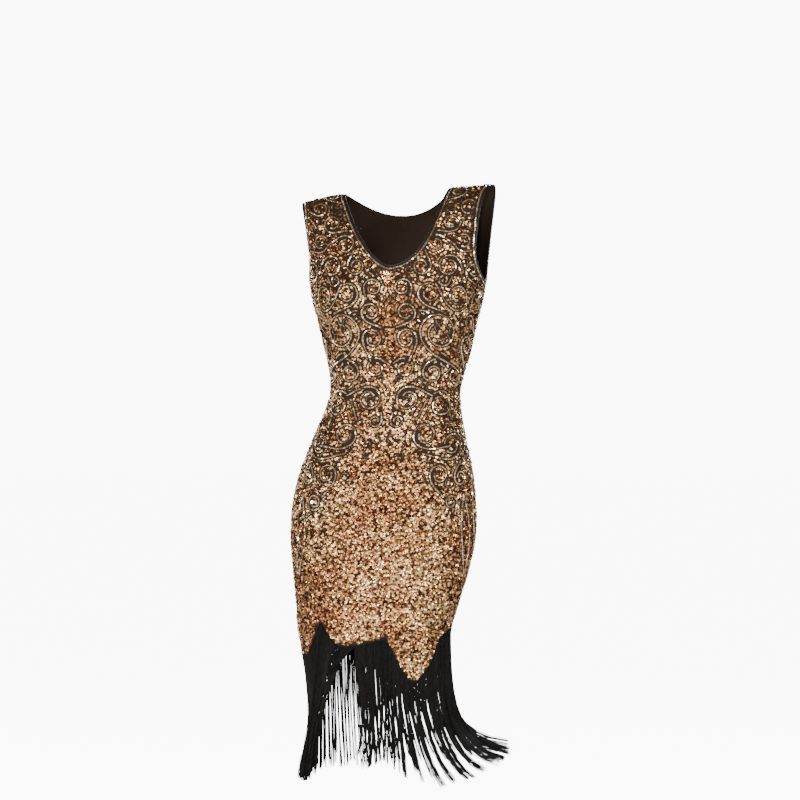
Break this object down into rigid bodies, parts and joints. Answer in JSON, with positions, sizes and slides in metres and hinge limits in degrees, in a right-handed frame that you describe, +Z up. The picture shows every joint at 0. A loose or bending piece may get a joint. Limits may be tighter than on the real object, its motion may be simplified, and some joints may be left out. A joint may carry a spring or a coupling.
{
  "type": "sleeveless sequinned evening dress with a fringed hem",
  "caption": "Fitted sleeveless dress of sequinned net with a V neck, a pointed hem and a long fringe that swings to one side.",
  "frame": {"origin": "midway between the shoulders, level with the tops of the shoulder seams, where a wearer or a dress form holds the dress up", "axes": "+Z up the dress from the hem to the neck; the front faces -Y; +X is on the wearer's left"},
  "size_m": [0.4009, 0.2531, 1.0897],
  "materials": {
    "sequin_net": "black net covered with small gold sequins and pale beaded scrolls",
    "black_binding": "black satin binding",
    "fringe_tape": "black woven tape",
    "fringe_thread": "glossy black rayon fringe"
  },
  "bodies": {
    "root": {"front_panel": "sequin_net", "back_panel": "sequin_net", "neck_binding": "black_binding", "armhole_binding_left": "black_binding", "armhole_binding_right": "black_binding", "fringe_tape": "fringe_tape", "fringe_front_right": "fringe_thread", "fringe_front_left": "fringe_thread", "fringe_back": "fringe_thread"}
  },
  "joints": []
}
